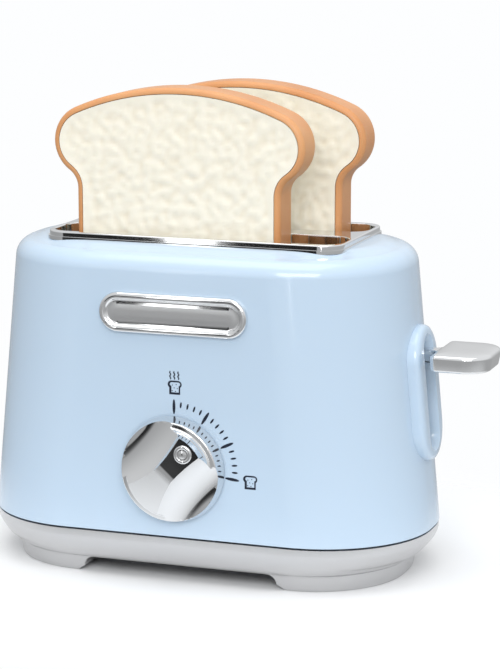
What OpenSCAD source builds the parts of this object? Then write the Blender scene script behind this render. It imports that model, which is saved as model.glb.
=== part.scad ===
// Toy toaster: two slices of toast ride on a sprung carriage, a side lever lowers it,
// and a dial on the front releases it.
// Millimetres, +Z up, +X towards the lever, -Y towards the dial.
// The origin is on the floor, under the middle of the whole outline.

/* [Body] */
// Width of the housing where it meets the base
body_w = 175; // [173:1:184]
// Depth of the housing where it meets the base
body_d = 92; // [91:1:98]
// Width that the housing has narrowed to at its top
body_top_w = 155; // [153:1:165]
// Depth that the housing has narrowed to at its top
body_top_d = 90; // [89:1:91]
// Width of the flat between the rounded corners at each end
end_flat = 6; // [4:0.5:14]
// Height of the housing's top above the floor
body_h = 126; // [124:1:132]
// Radius of the shoulder between the sides and the top
shoulder_r = 6.5; // [5:0.5:8]
// Rise of the crowned top inside the shoulder
crown_rise = 1.8; // [1:0.1:2.4]
// Thickness of the moulded housing
wall = 2.5; // [2:0.1:3]

/* [Base] */
// Height of the joint between housing and base
base_h = 18.5; // [17:0.5:21]
// Height of the skirt's lower edge above the floor
skirt_gap = 6.2; // [5:0.1:7]
// How far the skirt's lower edge is drawn in
skirt_tuck = 4.6; // [3.5:0.1:5.5]
// Thickness of the skirt's moulding
skirt_wall = 3; // [2.4:0.1:3.4]
// How far the soles of the feet are drawn in
foot_tuck = 7; // [6:0.5:8]
// Thickness of a foot, from its outer to its inner face
foot_t = 9; // [8.5:0.5:11]
// Width of the gap between the left and the right foot
foot_gap_x = 82; // [70:1:86]
// How far the ends of the base are drawn in at the floor
end_tuck = 12; // [10:0.5:13]
// Height of the shadow gap under the housing
reveal_h = 0.8; // [0.5:0.1:1.2]
// Thickness of the bottom plate
plate_t = 2.5; // [2:0.1:3]
// Radius of the housing screws' shanks
screw_r = 1.5; // [1.3:0.1:1.6]
// Distance of the housing screws from the side of the housing
screw_side = 39; // [38:0.5:40]
// Distance of the housing screws from its front and back
screw_in = 12.5; // [12:0.5:13]

/* [Slots] */
// Width of each bread slot, front to back
slot_w = 21; // [20:0.5:22]
// Radius of the corners of a bread slot
slot_corner = 7; // [6:0.5:7.5]
// Width of the bar between the two slots
slot_bar = 12; // [11:0.5:13]
// Border of the chrome trim beside a slot
trim_side = 3; // [2.5:0.5:5]
// Border of the chrome trim past a slot's end
trim_end = 1.5; // [1.5:0.1:3]
// Height of the chrome trim above the housing
trim_h = 2.6; // [2:0.1:4]
// Outer corner radius of the chrome trim
trim_corner = 8.5; // [7:0.5:10]
// Thickness of the collar that lines each slot
collar_t = 1.2; // [1:0.1:1.4]
// Depth of the collar below the housing's top
collar_h = 12; // [9:0.5:13]

/* [Toast] */
// Width across the lobes of a slice
slice_w = 99.6; // [96:0.2:101]
// Width of a slice below its lobes
slice_neck_w = 81; // [77:1:83]
// Height of a slice
slice_h = 100; // [98:0.5:104]
// Depth of the lobes' widest place below the top of a slice
lobe_drop = 21.2; // [20:0.1:23]
// Radius of the lobes
lobe_r = 13.7; // [12:0.1:15]
// Radius of the hollow under each lobe
neck_r = 8; // [6:0.5:9]
// Radius of a slice's lower corners
slice_foot_r = 6; // [5:0.5:9]
// Thickness of a slice
slice_t = 14.5; // [13:0.5:15.5]
// Width of the crust round a face panel
crust_w = 2.4; // [2.3:0.1:3]
// Radius of the crust's rounded edge
crust_r = 2; // [1.5:0.1:2.2]
// Thickness of a face panel
face_t = 1.6; // [1.2:0.1:2]
// Width of the ledge that a face panel rests on
ledge_w = 1.8; // [1.2:0.1:2]
// How far each slice lies off the middle of its slot
slice_play = 6.6; // [5:0.2:8]

/* [Carriage] */
// Travel of the lever and its carriage
travel = 30; // [28:1:34]
// Height of the carriage's floor when it is up
tray_z = 83.5; // [82:0.5:85]
// Thickness of the carriage's floor
tray_t = 2.5; // [2:0.1:3]
// Height of the lips beside a slice
lip_h = 3.5; // [2:0.5:5]
// Thickness of those lips
lip_t = 1.1; // [0.9:0.1:1.4]
// Height of the hubs that slide on the rods
hub_h = 10; // [8:0.5:12]
// Radius of the guide rods
rod_r = 2; // [1.6:0.1:2.2]
// Wire radius of the return springs
wire_r = 0.5; // [0.4:0.05:0.6]
// Middle radius of the return springs
coil_r = 4; // [3.8:0.1:4.2]
// Number of turns in a return spring
coil_turns = 9; // [7:1:11]

/* [Lever] */
// Width of the lever's paddle, front to back
handle_w = 31; // [26:1:34]
// Thickness of the lever's paddle
handle_t = 7; // [6.5:0.1:8]
// Length of the paddle
handle_l = 21.9; // [20:0.1:26]
// Gap between the paddle and the bezel when the lever is down
handle_gap = 0.8; // [0.7:0.1:3]
// Width of the neck between the paddle and the body
neck_w = 7; // [6.6:0.1:7.4]
// Height of that neck
neck_t = 5.3; // [5:0.1:5.6]
// Width of the steel arm inside the neck
arm_w = 5; // [4:0.1:5.2]
// Thickness of that arm
arm_t = 2.2; // [1.6:0.1:2.6]
// Width of the slot that the lever moves in
lever_slot_w = 9; // [8.6:0.1:10]
// Width of the raised bezel round that slot
bezel_w = 27; // [25:0.5:30]
// Height of the bezel above the housing
bezel_h = 3.5; // [3:0.1:4]

/* [Dial] */
// Radius of the dial knob
knob_r = 20.2; // [18:0.2:21]
// Height of the dial's axis above the floor
dial_z = 44.5; // [43:0.5:50]
// Height of the knob's rim above its back
knob_rim_h = 5; // [4.5:0.1:5.5]
// Height of the knob's bar above its back
knob_bar_h = 9.6; // [8.6:0.1:10]
// Width of the knob's bar at its waist
knob_waist = 7.4; // [6.6:0.1:8.6]
// Width of the knob's bar at its ends
knob_end_w = 12.4; // [11:0.1:14]
// Angle at which the pointer rests, clockwise from upright
pointer_angle = 42; // [36:1:60]
// Radius of the dial shaft
shaft_r = 3; // [2.6:0.1:3.3]
// Angle between two clicks of the dial
click_step = 6.45; // [6.3:0.05:7]

/* [Badge] */
// Length of the bare plate on the front
badge_w = 58; // [50:1:60]
// Height of the bare plate
badge_h = 15; // [12:0.2:16]
// Height of the plate's middle above the floor
badge_z = 102.5; // [98:0.5:104]

/* [Fits] */
// Gap round a turning or sliding fit
run_gap = 0.06; // [0.04:0.01:0.08]
// Gap round a piece that is put in and stays
seat_gap = 0.15; // [0.1:0.05:0.2]
// Gap between a slice's lobe and the slot's end
slot_gap = 0.7; // [0.6:0.1:1]

/* [Hidden] */

$fn = 64;
cut = 1;

shell_blue = [0.73, 0.81, 0.88];
chrome = [0.80, 0.80, 0.81];
satin_silver = [0.76, 0.77, 0.78];
steel = [0.62, 0.63, 0.65];
inside_grey = [0.40, 0.42, 0.45];
crust_brown = [0.83, 0.58, 0.36];
crumb_cream = [0.90, 0.88, 0.81];

// Housing
corner_steps = 12;
inner_steps = 8;
round_step = 15;
crown_run = shoulder_r + 6;
shoulder_z = body_h - crown_rise - shoulder_r;
roof_z = body_h - wall;
taper_angle = atan((body_w - body_top_w) / 2 / (body_h - base_h));
lean_angle = atan((body_d - body_top_d) / 2 / (body_h - base_h));

// Slots and trim
slot_l = slice_w + 2 * (slice_play + slot_gap);
slot_y = (slot_bar + slot_w) / 2;
trim_l = slot_l + 2 * trim_end;
trim_d = slot_bar + 2 * slot_w + 2 * trim_side;
trim_edge = 0.5;
collar_z = body_h - collar_h;

// Base, from the floor up: feet, skirt, flange, bottom plate, housing
step_z = skirt_gap + 2.8;
ledge_in = 1.2;
foot_slope = 2.5;
foot_round = 4;
flange_t = 2.3;
flange_w = 3.2;
plate_top = base_h - 2.2;
plate_bottom = plate_top - plate_t;
flange_bottom = plate_bottom - flange_t;
cavity_in = skirt_wall + 0.4;
screw_x = body_w / 2 - screw_side;
screw_y = body_d / 2 - screw_in;
screw_depth = 12;
boss_r = screw_r + 2.5;
boss_h = 2 * screw_depth;
boss_top = plate_top + boss_h;
screw_head_r = 2 * screw_r;
screw_head_h = 1.8;

// Carriage, rods and springs
tray_w = slice_t + 0.9;
tray_l = slice_neck_w + 2 * (slice_play + 0.8);
tray_side = slot_y + tray_w / 2 + lip_t;
end_plate_in = tray_l / 2 + 5;
end_plate_t = tray_t + 0.5;
rod_x = slot_l / 2 + 11;
hub_r = rod_r + 3.2;
hub_bottom = tray_z - hub_h;
socket_h = 6;
rod_bottom = plate_bottom + 1.2;
rod_top = collar_z + 4;
spring_bottom = plate_top + socket_h;
arm_top = tray_z + arm_t;
stop_h = 2.4;
guard_t = 1.5;
guard_l = 2 * (end_plate_in - 8);
guard_y = slot_bar / 2 + slot_w + collar_t + 0.5;
guard_bottom = tray_z + lip_h + 2;
centre_guard_t = 2.4;

// Lever
handle_z = tray_z + arm_t / 2;
slot_above = 3;
slot_below = 2;
lever_slot_top = handle_z + neck_t / 2 + slot_above;
lever_slot_bottom = handle_z - neck_t / 2 - travel - slot_below;
lever_slot_h = lever_slot_top - lever_slot_bottom;
lever_slot_z = (lever_slot_top + lever_slot_bottom) / 2;
bezel_end = 5.6;
spigot_t = 1.6;
handle_low_z = handle_z - handle_t / 2 - travel;
handle_in = width_at(handle_low_z) / 2 + bezel_h + handle_gap;
handle_out = handle_in + handle_l;
neck_in = width_at(handle_z) / 2 - 1.5;
arm_reach = handle_in + 11;
arm_screw_x = rod_x - hub_r - 3.3;
handle_screw_x = handle_in + 8;
small_screw_r = 1.2;
small_head_h = 1.3;
small_screw_l = 6.5;

// Dial, measured forwards from the middle of the body
wall_y = depth_at(dial_z) / 2;
knob_back = wall_y + 0.6;
knob_boss_h = 0.5;
knob_taper = 1.3;
knob_front = knob_back + knob_bar_h + knob_boss_h;
knob_socket = 6;
bush_r = shaft_r + 2;
bush_flange_r = bush_r + 2.5;
bush_flange_t = 1.5;
bush_back = wall_y - wall - 0.1 - bush_flange_t;
wheel_r = 13;
wheel_t = 2;
wheel_y = bush_back - 1.5;
notch_r = 1.2;
cam_r = 15.6;
cam_t = 2.8;
cam_y = wheel_y - wheel_t - 1.2;
clip_t = 0.8;
clip_y = cam_y - cam_t - 0.4;
shaft_back = clip_y - clip_t - 1.2;
groove_r = shaft_r - 0.6;
tenon_r = shaft_r - 0.3;
flat_r = tenon_r - 0.8;

// Catch and click springs, each held in a slotted post on the bottom plate
leaf_t = 0.6;
lead_h = 8.5;
lead_out = 2.2;
hook_over = 1.8;
bump_h = 2.6;
post_h = 8;
post_side = 3;
catch_x = cam_r + 0.9;
catch_back = cam_y - cam_t - 5.6;
striker_w = 5;
striker_t = 2;
striker_x = catch_x - 1.6 - striker_w;
striker_low = tray_z - tray_t - travel;
click_x = -wheel_r - 2.6;

// The middle of the whole outline lies over the origin
middle_x = (handle_out - body_w / 2) / 2;
middle_y = (body_d / 2 - knob_front) / 2;

function reversed(list) = [for (i = [len(list) - 1:-1:0]) list[i]];

// Value between a and b
function between(a, b, share) = a + (b - a) * share;

// Width and depth of the housing at a height
function width_at(z) = between(body_w, body_top_w, (z - base_h) / (body_h - base_h));
function depth_at(z) = between(body_d, body_top_d, (z - base_h) / (body_h - base_h));

// Points along an arc
function arc(x, y, r, from, to, steps) =
    [for (i = [0:steps]) let (a = between(from, to, i / steps)) [x + r * cos(a), y + r * sin(a)]];

// Outline of a rounded rectangle
function rounded(w, d, r, steps) = concat(
    arc(w / 2 - r, d / 2 - r, r, 0, 90, steps),
    arc(r - w / 2, d / 2 - r, r, 90, 180, steps),
    arc(r - w / 2, r - d / 2, r, 180, 270, steps),
    arc(w / 2 - r, r - d / 2, r, 270, 360, steps)
);

// Outline of an upright capsule
function capsule_outline(w, h, steps) = concat(
    arc(0, (h - w) / 2, w / 2, 0, 180, steps),
    arc(0, (w - h) / 2, w / 2, 180, 360, steps)
);

// Outline lifted to a height
function at_height(outline, z) = [for (p = outline) [p[0], p[1], z]];

// Outline of the body at a height, drawn in by an inset
function body_outline(z, inset, steps) =
    rounded(width_at(z) - 2 * inset, depth_at(z) - 2 * inset, (depth_at(z) - end_flat) / 2 - inset, steps);
function body_ring(z, inset, steps) = at_height(body_outline(z, inset, steps), z);

// Outline of the base, whose ends are drawn in further than its front and back
function base_outline(z, inset, end_inset, steps) =
    rounded(width_at(z) - 2 * end_inset, depth_at(z) - 2 * inset, (depth_at(z) - end_flat) / 2 - inset, steps);
function base_ring(z, inset, end_inset) = at_height(base_outline(z, inset, end_inset, corner_steps), z);

// Right half of a slice's outline from its foot to its crown, drawn in by an inset
function half_slice(inset) =
    let (lobe_x = slice_w / 2 - lobe_r)
    let (lobe_h = slice_h - lobe_drop)
    let (dome_r = (lobe_x * lobe_x + lobe_drop * lobe_drop - lobe_r * lobe_r) / (2 * (lobe_drop - lobe_r)))
    let (dome_z = slice_h - dome_r)
    let (lobe_turn = atan2(lobe_h - dome_z, lobe_x))
    let (neck_x = slice_neck_w / 2 + neck_r)
    let (neck_drop = sqrt(pow(lobe_r + neck_r, 2) - pow(neck_x - lobe_x, 2)))
    let (neck_turn = atan2(neck_drop, neck_x - lobe_x))
    concat(
        arc(slice_neck_w / 2 - slice_foot_r, slice_foot_r, slice_foot_r - inset, -90, 0, 4),
        arc(neck_x, lobe_h - neck_drop, neck_r + inset, 180, 180 - neck_turn, 5),
        [for (i = [1:13]) let (a = between(-neck_turn, lobe_turn, i / 13))
            [lobe_x + (lobe_r - inset) * cos(a), lobe_h + (lobe_r - inset) * sin(a)]],
        [for (i = [1:8]) let (a = between(lobe_turn, 90, i / 9))
            [(dome_r - inset) * cos(a), dome_z + (dome_r - inset) * sin(a)]]
    );
function slice_outline(inset) =
    let (half = half_slice(inset))
    concat(half, [[0, slice_h - inset]], [for (p = reversed(half)) [-p[0], p[1]]]);

// Closed solid through a row of rings that have as many points each.
// With looped on, the last ring joins the first one and there are no end caps.
module loft(rings, looped = false) {
    n = len(rings[0]);
    count = len(rings);
    sides = [
        for (k = [0:count - (looped ? 1 : 2)], i = [0:n - 1])
        let (next = (k + 1) % count * n)
        let (a = k * n + i)
        let (b = k * n + (i + 1) % n)
        each [[a, next + i, next + (i + 1) % n], [a, next + (i + 1) % n, b]]
    ];
    lower = [for (i = [0:n - 1]) i];
    upper = [for (i = [n - 1:-1:0]) (count - 1) * n + i];
    polyhedron([for (ring = rings) each ring], looped ? sides : concat([lower], sides, [upper]));
}

// Moves the body's own frame so that the origin is under the middle of the outline
module placed() {
    translate([-middle_x, -middle_y, 0]) children();
}

// Frame on the right wall: local Z points outwards and local Y up the wall
module on_right_wall(z) {
    translate([width_at(z) / 2, 0, z]) rotate([0, 90 - taper_angle, 0]) rotate(90) children();
}

// Frame on the front wall: local Z points outwards and local Y up the wall
module on_front_wall(z) {
    translate([0, -depth_at(z) / 2, z]) rotate([90 - lean_angle, 0, 0]) children();
}

// Frame on the dial's axis: local Z points forwards from the given distance
module on_dial(distance) {
    translate([0, -distance, dial_z]) rotate([90, 0, 0]) children();
}

// Solid with its profile in the plane of X and Z, between two distances forwards
module facing_front(front, back) {
    translate([0, -back, 0]) rotate([90, 0, 0]) linear_extrude(front - back) children();
}

module rounded_square(w, d, r) {
    square([w - 2 * r, d], center = true);
    square([w, d - 2 * r], center = true);
    for (x = [-1, 1], y = [-1, 1]) translate([x * (w / 2 - r), y * (d / 2 - r)]) circle(r);
}

module capsule(w, h) {
    square([w, h - w], center = true);
    for (y = [-1, 1]) translate([0, y * (h - w) / 2]) circle(w / 2);
}

// Outline of a bent strip of sheet metal along a list of points
function bend(points, i, offset) =
    let (before = points[max(i, 1)] - points[max(i, 1) - 1])
    let (after = points[min(i, len(points) - 2) + 1] - points[min(i, len(points) - 2)])
    let (across = before / norm(before) + after / norm(after))
    let (half = norm(across) / 2)
    points[i] + offset / half * [-across[1], across[0]] / norm(across);
function strip(points) = concat(
    [for (i = [0:len(points) - 1]) bend(points, i, -leaf_t / 2)],
    [for (i = [len(points) - 1:-1:0]) bend(points, i, leaf_t / 2)]
);

module at_slots() {
    for (side = [-1, 1]) translate([0, side * slot_y, 0]) children();
}

module at_screws() {
    for (x = [-1, 1], y = [-1, 1]) translate([x * screw_x, y * screw_y, 0]) children();
}

module at_rods() {
    for (side = [-1, 1]) translate([side * rod_x, 0, 0]) children();
}

module slot_opening(extra) {
    rounded_square(slot_l + 2 * extra, slot_w + 2 * extra, slot_corner + extra);
}

// Rings of the body's form from a height up: its outside, or with an inset the hollow inside it
function form_rings(bottom, inset, steps, turn) =
    let (r = shoulder_r - inset)
    concat(
        [body_ring(bottom, inset, steps)],
        [for (a = [0:turn:90]) body_ring(shoulder_z + r * sin(a), inset + r * (1 - cos(a)), steps)],
        [body_ring(body_h - inset - crown_rise * 0.35, crown_run - 3, steps)],
        [body_ring(body_h - inset, crown_run, steps)]
    );

// Shell with a hollow that is open below, with the holes for what is fixed to it
module housing() {
    placed() color(shell_blue) difference() {
        union() {
            loft(concat(
                reversed(form_rings(base_h, wall, corner_steps, 2 * round_step)),
                form_rings(base_h, 0, corner_steps, round_step)
            ));
            housing_bosses();
        }
        at_slots() translate([0, 0, collar_z - cut]) linear_extrude(collar_h + 2 * cut)
            slot_opening(collar_t + seat_gap);
        on_right_wall(lever_slot_z) translate([0, 0, -3 * wall]) linear_extrude(6 * wall)
            capsule(lever_slot_w + 2 * (spigot_t + seat_gap), lever_slot_h + 2 * (spigot_t + seat_gap));
        on_dial(wall_y - 2 * wall) cylinder(h = 2 * wall + cut, r = bush_r + seat_gap);
        at_screws() translate([0, 0, plate_top - cut]) cylinder(h = screw_depth + cut, r = screw_r + run_gap);
        at_rods() translate([0, 0, collar_z - 3])
            cylinder(h = rod_top - collar_z + 3.5, r = rod_r + run_gap);
        on_front_wall(badge_z) {
            translate([0, 0, -0.7]) linear_extrude(cut + 0.7)
                rotate(90) capsule(badge_h - 3, badge_w - 3);
            for (side = [-1, 1]) translate([side * badge_w / 4, 0, -2 * wall])
                cylinder(h = 2 * wall, r = 1.5 + seat_gap);
        }
    }
}

// Screw bosses with ribs to the walls, and the sockets that hold the rods' upper ends
module housing_bosses() {
    at_screws() translate([0, 0, plate_top]) cylinder(h = boss_top - plate_top, r = boss_r);
    intersection() {
        loft(form_rings(base_h + 0.3, wall / 2, inner_steps, 3 * round_step));
        union() {
            for (x = [-1, 1], y = [-1, 1])
                translate([x * screw_x, y * (screw_y + body_d / 2) / 2, boss_top / 2])
                    cube([2, body_d / 2 - screw_y, boss_top], center = true);
            at_rods() translate([0, 0, collar_z - 2]) cylinder(h = collar_h + 2, r = rod_r + 2.6);
        }
    }
}

module slot_trim() {
    placed() color(chrome) difference() {
        union() {
            translate([0, 0, body_h]) linear_extrude(0.6)
                rounded_square(trim_l + 1.2, trim_d + 1.2, trim_corner + 0.6);
            translate([0, 0, body_h]) linear_extrude(trim_h - trim_edge)
                rounded_square(trim_l, trim_d, trim_corner);
            translate([0, 0, body_h]) linear_extrude(trim_h)
                rounded_square(trim_l - 2 * trim_edge, trim_d - 2 * trim_edge, trim_corner - trim_edge);
            at_slots() translate([0, 0, collar_z]) linear_extrude(collar_h + cut) slot_opening(collar_t);
        }
        at_slots() translate([0, 0, collar_z - cut]) linear_extrude(collar_h + trim_h + 2 * cut)
            slot_opening(0);
    }
}

// Bare plate with a raised rim, held by two pegs
module badge_plate() {
    placed() color(chrome) on_front_wall(badge_z) {
        difference() {
            union() {
                linear_extrude(1.1) rotate(90) capsule(badge_h, badge_w);
                linear_extrude(1.5) rotate(90) capsule(badge_h - 0.8, badge_w - 0.8);
                translate([0, 0, -0.6]) linear_extrude(1)
                    rotate(90) capsule(badge_h - 3 - 2 * seat_gap, badge_w - 3 - 2 * seat_gap);
            }
            translate([0, 0, 1]) linear_extrude(cut) rotate(90) capsule(badge_h - 3.2, badge_w - 3.2);
        }
        for (side = [-1, 1]) translate([side * badge_w / 4, 0, -wall - 0.8])
            cylinder(h = wall + 0.8, r = 1.5);
    }
}

// Raised ring round the lever's slot, with a spigot that passes through the housing
module lever_bezel() {
    bezel_l = lever_slot_h + 2 * bezel_end;
    edge = 1.9;
    placed() color(shell_blue) difference() {
        union() {
            difference() {
                on_right_wall(lever_slot_z) loft(concat(
                    [at_height(capsule_outline(bezel_w, bezel_l, 10), -wall)],
                    [for (a = [0:30:90]) let (trim = 3 * edge * (1 - cos(a)))
                        at_height(capsule_outline(bezel_w - trim, bezel_l - trim, 10),
                            bezel_h - edge + edge * sin(a))]
                ));
                loft(form_rings(base_h, 0, corner_steps, round_step));
            }
            on_right_wall(lever_slot_z) translate([0, 0, -wall - 1]) linear_extrude(wall + 2)
                capsule(lever_slot_w + 2 * spigot_t, lever_slot_h + 2 * spigot_t);
        }
        on_right_wall(lever_slot_z) {
            translate([0, 0, -3 * wall]) linear_extrude(6 * wall) capsule(lever_slot_w, lever_slot_h);
            loft([for (k = [0:3]) at_height(
                capsule_outline(lever_slot_w + k * k * 0.45, lever_slot_h + k * k * 0.45, 8),
                bezel_h - 2.2 + k * 0.75)]);
        }
    }
}

// Silver skirt with a foot round each end, one outer form from the soles to the ledge
module base_skirt() {
    placed() color(satin_silver) difference() {
        union() {
            loft([
                base_ring(0, foot_tuck, end_tuck),
                base_ring(0.8, foot_tuck - 0.6, end_tuck - 0.6),
                base_ring(skirt_gap, skirt_tuck, end_tuck - 1.6),
                base_ring(skirt_gap + 1.2, skirt_tuck - 1.3, end_tuck - 4.2),
                base_ring(step_z, 2.6, end_tuck / 2),
                base_ring(step_z + 0.2, 1.9, end_tuck / 2 - 0.8),
                base_ring(step_z + 2.5, 1, end_tuck / 4),
                base_ring(step_z + 5.5, 0.4, 0.9),
                base_ring(base_h - reveal_h, 0.3, 0.3)
            ]);
            translate([0, 0, plate_top]) linear_extrude(base_h - plate_top)
                polygon(body_outline(base_h, ledge_in, corner_steps));
        }
        translate([0, 0, -cut]) linear_extrude(base_h)
            polygon(base_outline(0, foot_tuck + foot_t, end_tuck + foot_t, inner_steps));
        between_feet() union() {
            translate([0, 0, -cut]) linear_extrude(skirt_gap + cut) square(2 * body_w, center = true);
            translate([0, 0, skirt_gap - cut]) linear_extrude(flange_bottom + cut - skirt_gap)
                polygon(body_outline(base_h, skirt_tuck + skirt_wall - 0.6, inner_steps));
        }
        translate([0, 0, flange_bottom - cut]) linear_extrude(flange_t + 2 * cut) difference() {
            polygon(body_outline(base_h, cavity_in + flange_w, inner_steps));
            at_screws() circle(boss_r + 1.5);
        }
        translate([0, 0, plate_bottom]) linear_extrude(base_h)
            polygon(body_outline(base_h, cavity_in, inner_steps));
        at_screws() translate([0, 0, -cut]) {
            cylinder(h = flange_bottom + cut, r = screw_head_r + 0.3);
            cylinder(h = base_h, r = screw_r + 0.2);
        }
    }
}

// What lies between the feet of a solid that has none
module between_feet() {
    intersection() {
        facing_front(body_d, -body_d) foot_gap();
        children();
    }
}

// Outline of the gap between the two feet, wider at the floor and rounded at the top
module foot_gap() {
    floor_x = foot_gap_x / 2 + foot_slope;
    top_x = foot_gap_x / 2 - foot_slope - foot_round;
    polygon(concat(
        [[-floor_x, -cut], [floor_x, -cut]],
        arc(top_x, skirt_gap - foot_round, foot_round, 0, 90, 5),
        [[top_x, base_h], [-top_x, base_h]],
        arc(-top_x, skirt_gap - foot_round, foot_round, 90, 180, 5)
    ));
}

// Plate that closes the housing and carries the rods and the two leaf springs
module bottom_plate() {
    placed() color(inside_grey) difference() {
        union() {
            translate([0, 0, plate_bottom]) linear_extrude(plate_t)
                polygon(body_outline(base_h, cavity_in + seat_gap, inner_steps));
            at_rods() translate([0, 0, plate_bottom]) cylinder(h = plate_t + socket_h, r = hub_r);
            spring_post(catch_x, cam_y, catch_back);
            spring_post(click_x, wheel_y, wheel_y - wheel_t);
            for (y = [-1, 0, 1]) translate([0, y * 14, plate_bottom - 0.9])
                cube([2 * screw_x - 4 * boss_r, 1.6, 2], center = true);
        }
        at_rods() translate([0, 0, rod_bottom]) cylinder(h = base_h, r = rod_r + run_gap);
        at_screws() translate([0, 0, plate_bottom - cut]) cylinder(h = plate_t + 2 * cut, r = screw_r + 0.2);
        leaf_slot(catch_x, cam_y, catch_back);
        leaf_slot(click_x, wheel_y, wheel_y - wheel_t);
    }
}

// Post on the bottom plate, and the slot in it for a leaf spring's foot
module spring_post(x, front, back) {
    translate([x - post_side, -front - 1, plate_top - cut])
        cube([2 * post_side, front - back + 2, post_h + cut]);
}

module leaf_slot(x, front, back) {
    translate([x - leaf_t / 2 - run_gap, -front - run_gap, plate_top])
        cube([leaf_t + 2 * run_gap, front - back + 2 * run_gap, post_h + cut]);
}

module housing_screws() {
    placed() color(steel) at_screws() translate([0, 0, flange_bottom - screw_head_h]) {
        difference() {
            cylinder(h = screw_head_h, r = screw_head_r);
            for (turn = [0, 90]) rotate(turn) cube([3.2, 0.8, 1.6], center = true);
        }
        cylinder(h = plate_top + screw_depth - 1 - flange_bottom + screw_head_h, r = screw_r);
    }
}

module guide_rods() {
    placed() color(steel) at_rods() translate([0, 0, rod_bottom]) {
        cylinder(h = rod_top - rod_bottom, r = rod_r);
    }
}

// Rings on the rods that stop the carriage at the top of its travel
module stop_rings() {
    placed() color(inside_grey) at_rods() translate([0, 0, arm_top + seat_gap]) difference() {
        cylinder(h = stop_h, r = hub_r);
        translate([0, 0, -cut]) cylinder(h = stop_h + 2 * cut, r = rod_r + run_gap);
    }
}

// Ribbed walls under the roof that keep the slices upright
module guard(y) {
    placed() color(inside_grey) {
        translate([0, y, (roof_z + guard_bottom) / 2])
            cube([guard_l, guard_t, roof_z - guard_bottom], center = true);
    }
}

module front_guard() {
    guard(-guard_y - guard_t / 2);
}

module rear_guard() {
    guard(guard_y + guard_t / 2);
}

// Wall between the two wells, with slots along it that save material
module centre_guard() {
    low = striker_low - 2;
    placed() color(inside_grey) facing_front(centre_guard_t / 2, -centre_guard_t / 2) difference() {
        translate([-guard_l / 2, low]) square([guard_l, roof_z - low]);
        for (i = [-2:2]) translate([i * 19, (low + collar_z) / 2]) capsule(9, collar_z - low - 16);
    }
}

module dial_bush() {
    placed() color(inside_grey) difference() {
        union() {
            on_dial(bush_back) cylinder(h = wall_y - bush_back, r = bush_r);
            on_dial(bush_back) cylinder(h = bush_flange_t, r = bush_flange_r);
        }
        on_dial(bush_back - cut) cylinder(h = wall_y - bush_back + 2 * cut, r = shaft_r + run_gap);
    }
}

// Leaf whose hook lies over the striker when the carriage is down
module catch_spring() {
    hook_z = striker_low + 2 * leaf_t;
    placed() color(steel) facing_front(cam_y, catch_back) polygon(strip([
        [catch_x, plate_top],
        [catch_x, hook_z - leaf_t],
        [striker_x + striker_w - hook_over, hook_z],
        [catch_x + lead_out / 5, hook_z + lead_h * 0.7],
        [catch_x + lead_out, hook_z + lead_h]
    ]));
}

// Leaf whose bump rests in a notch of the click wheel
module click_spring() {
    placed() color(steel) facing_front(wheel_y, wheel_y - wheel_t) polygon(strip([
        [click_x, plate_top],
        [click_x, dial_z - bump_h],
        [0.2 - wheel_r, dial_z],
        [click_x, dial_z + bump_h],
        [click_x, dial_z + 2.3 * bump_h]
    ]));
}

// Share of the whole turn reached at a share of the height, easing in and out
function eased(s, ramp) =
    (s < ramp ? s * s / (2 * ramp)
        : s > 1 - ramp ? 1 - ramp - (1 - s) * (1 - s) / (2 * ramp)
        : s - ramp / 2) / (1 - ramp);

// Wire's path: a straight end, the coil and a straight end
function spring_path(from, to) =
    let (count = 8 * coil_turns, low = from + 2 * wire_r, high = to - 2 * wire_r)
    concat(
        [[coil_r, 0, from]],
        [for (i = [0:count]) let (a = 360 * coil_turns * eased(i / count, 0.06))
            [coil_r * cos(a), coil_r * sin(a), between(low, high, i / count)]],
        [[coil_r, 0, to]]
    );

// Six-sided ring square to the path at one of its points
function wire_ring(path, i) =
    let (last = len(path) - 1)
    let (ahead = i == 0 || i == last ? [0, 0, 1] : path[i + 1] - path[i - 1])
    let (along = ahead / norm(ahead))
    let (out = [path[i][0], path[i][1], 0] / coil_r)
    let (across = cross(along, out))
    [for (k = [0:5]) path[i] + wire_r * (cos(60 * k) * out + sin(60 * k) * across)];

function least_gap(path) =
    min([for (i = [0:len(path) - 1], j = [i + 5:1:len(path) - 1]) norm(path[i] - path[j])]) - 2 * wire_r;

module return_spring(side) {
    path = spring_path(spring_bottom, hub_bottom);
    echo(least_gap_between_turns = least_gap(path));
    placed() color(steel) translate([side * rod_x, 0, 0])
        loft([for (i = [0:len(path) - 1]) wire_ring(path, i)]);
}

module return_spring_left() {
    return_spring(-1);
}

module return_spring_right() {
    return_spring(1);
}

// Two trays for the slices, joined by end plates whose hubs slide on the rods
module carriage() {
    placed() color(inside_grey) difference() {
        union() {
            at_slots() tray();
            for (side = [-1, 1]) {
                translate([side * (end_plate_in + rod_x) / 2, 0, tray_z - end_plate_t])
                    linear_extrude(end_plate_t)
                        rounded_square(rod_x - end_plate_in + 4, 2 * tray_side + 2, 3);
                translate([side * rod_x, 0, hub_bottom])
                    cylinder(h = side < 0 ? hub_h + arm_t : hub_h, r = hub_r);
            }
            translate([arm_screw_x, 0, tray_z - small_screw_l - 0.5])
                cylinder(h = small_screw_l - 0.5, r = small_screw_r + 1.6);
        }
        at_rods() translate([0, 0, hub_bottom - cut])
            cylinder(h = hub_h + arm_t + 2 * cut, r = rod_r + run_gap);
        translate([arm_screw_x, 0, tray_z - small_screw_l - cut])
            cylinder(h = small_screw_l + 2 * cut, r = small_screw_r + run_gap);
    }
}

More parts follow.
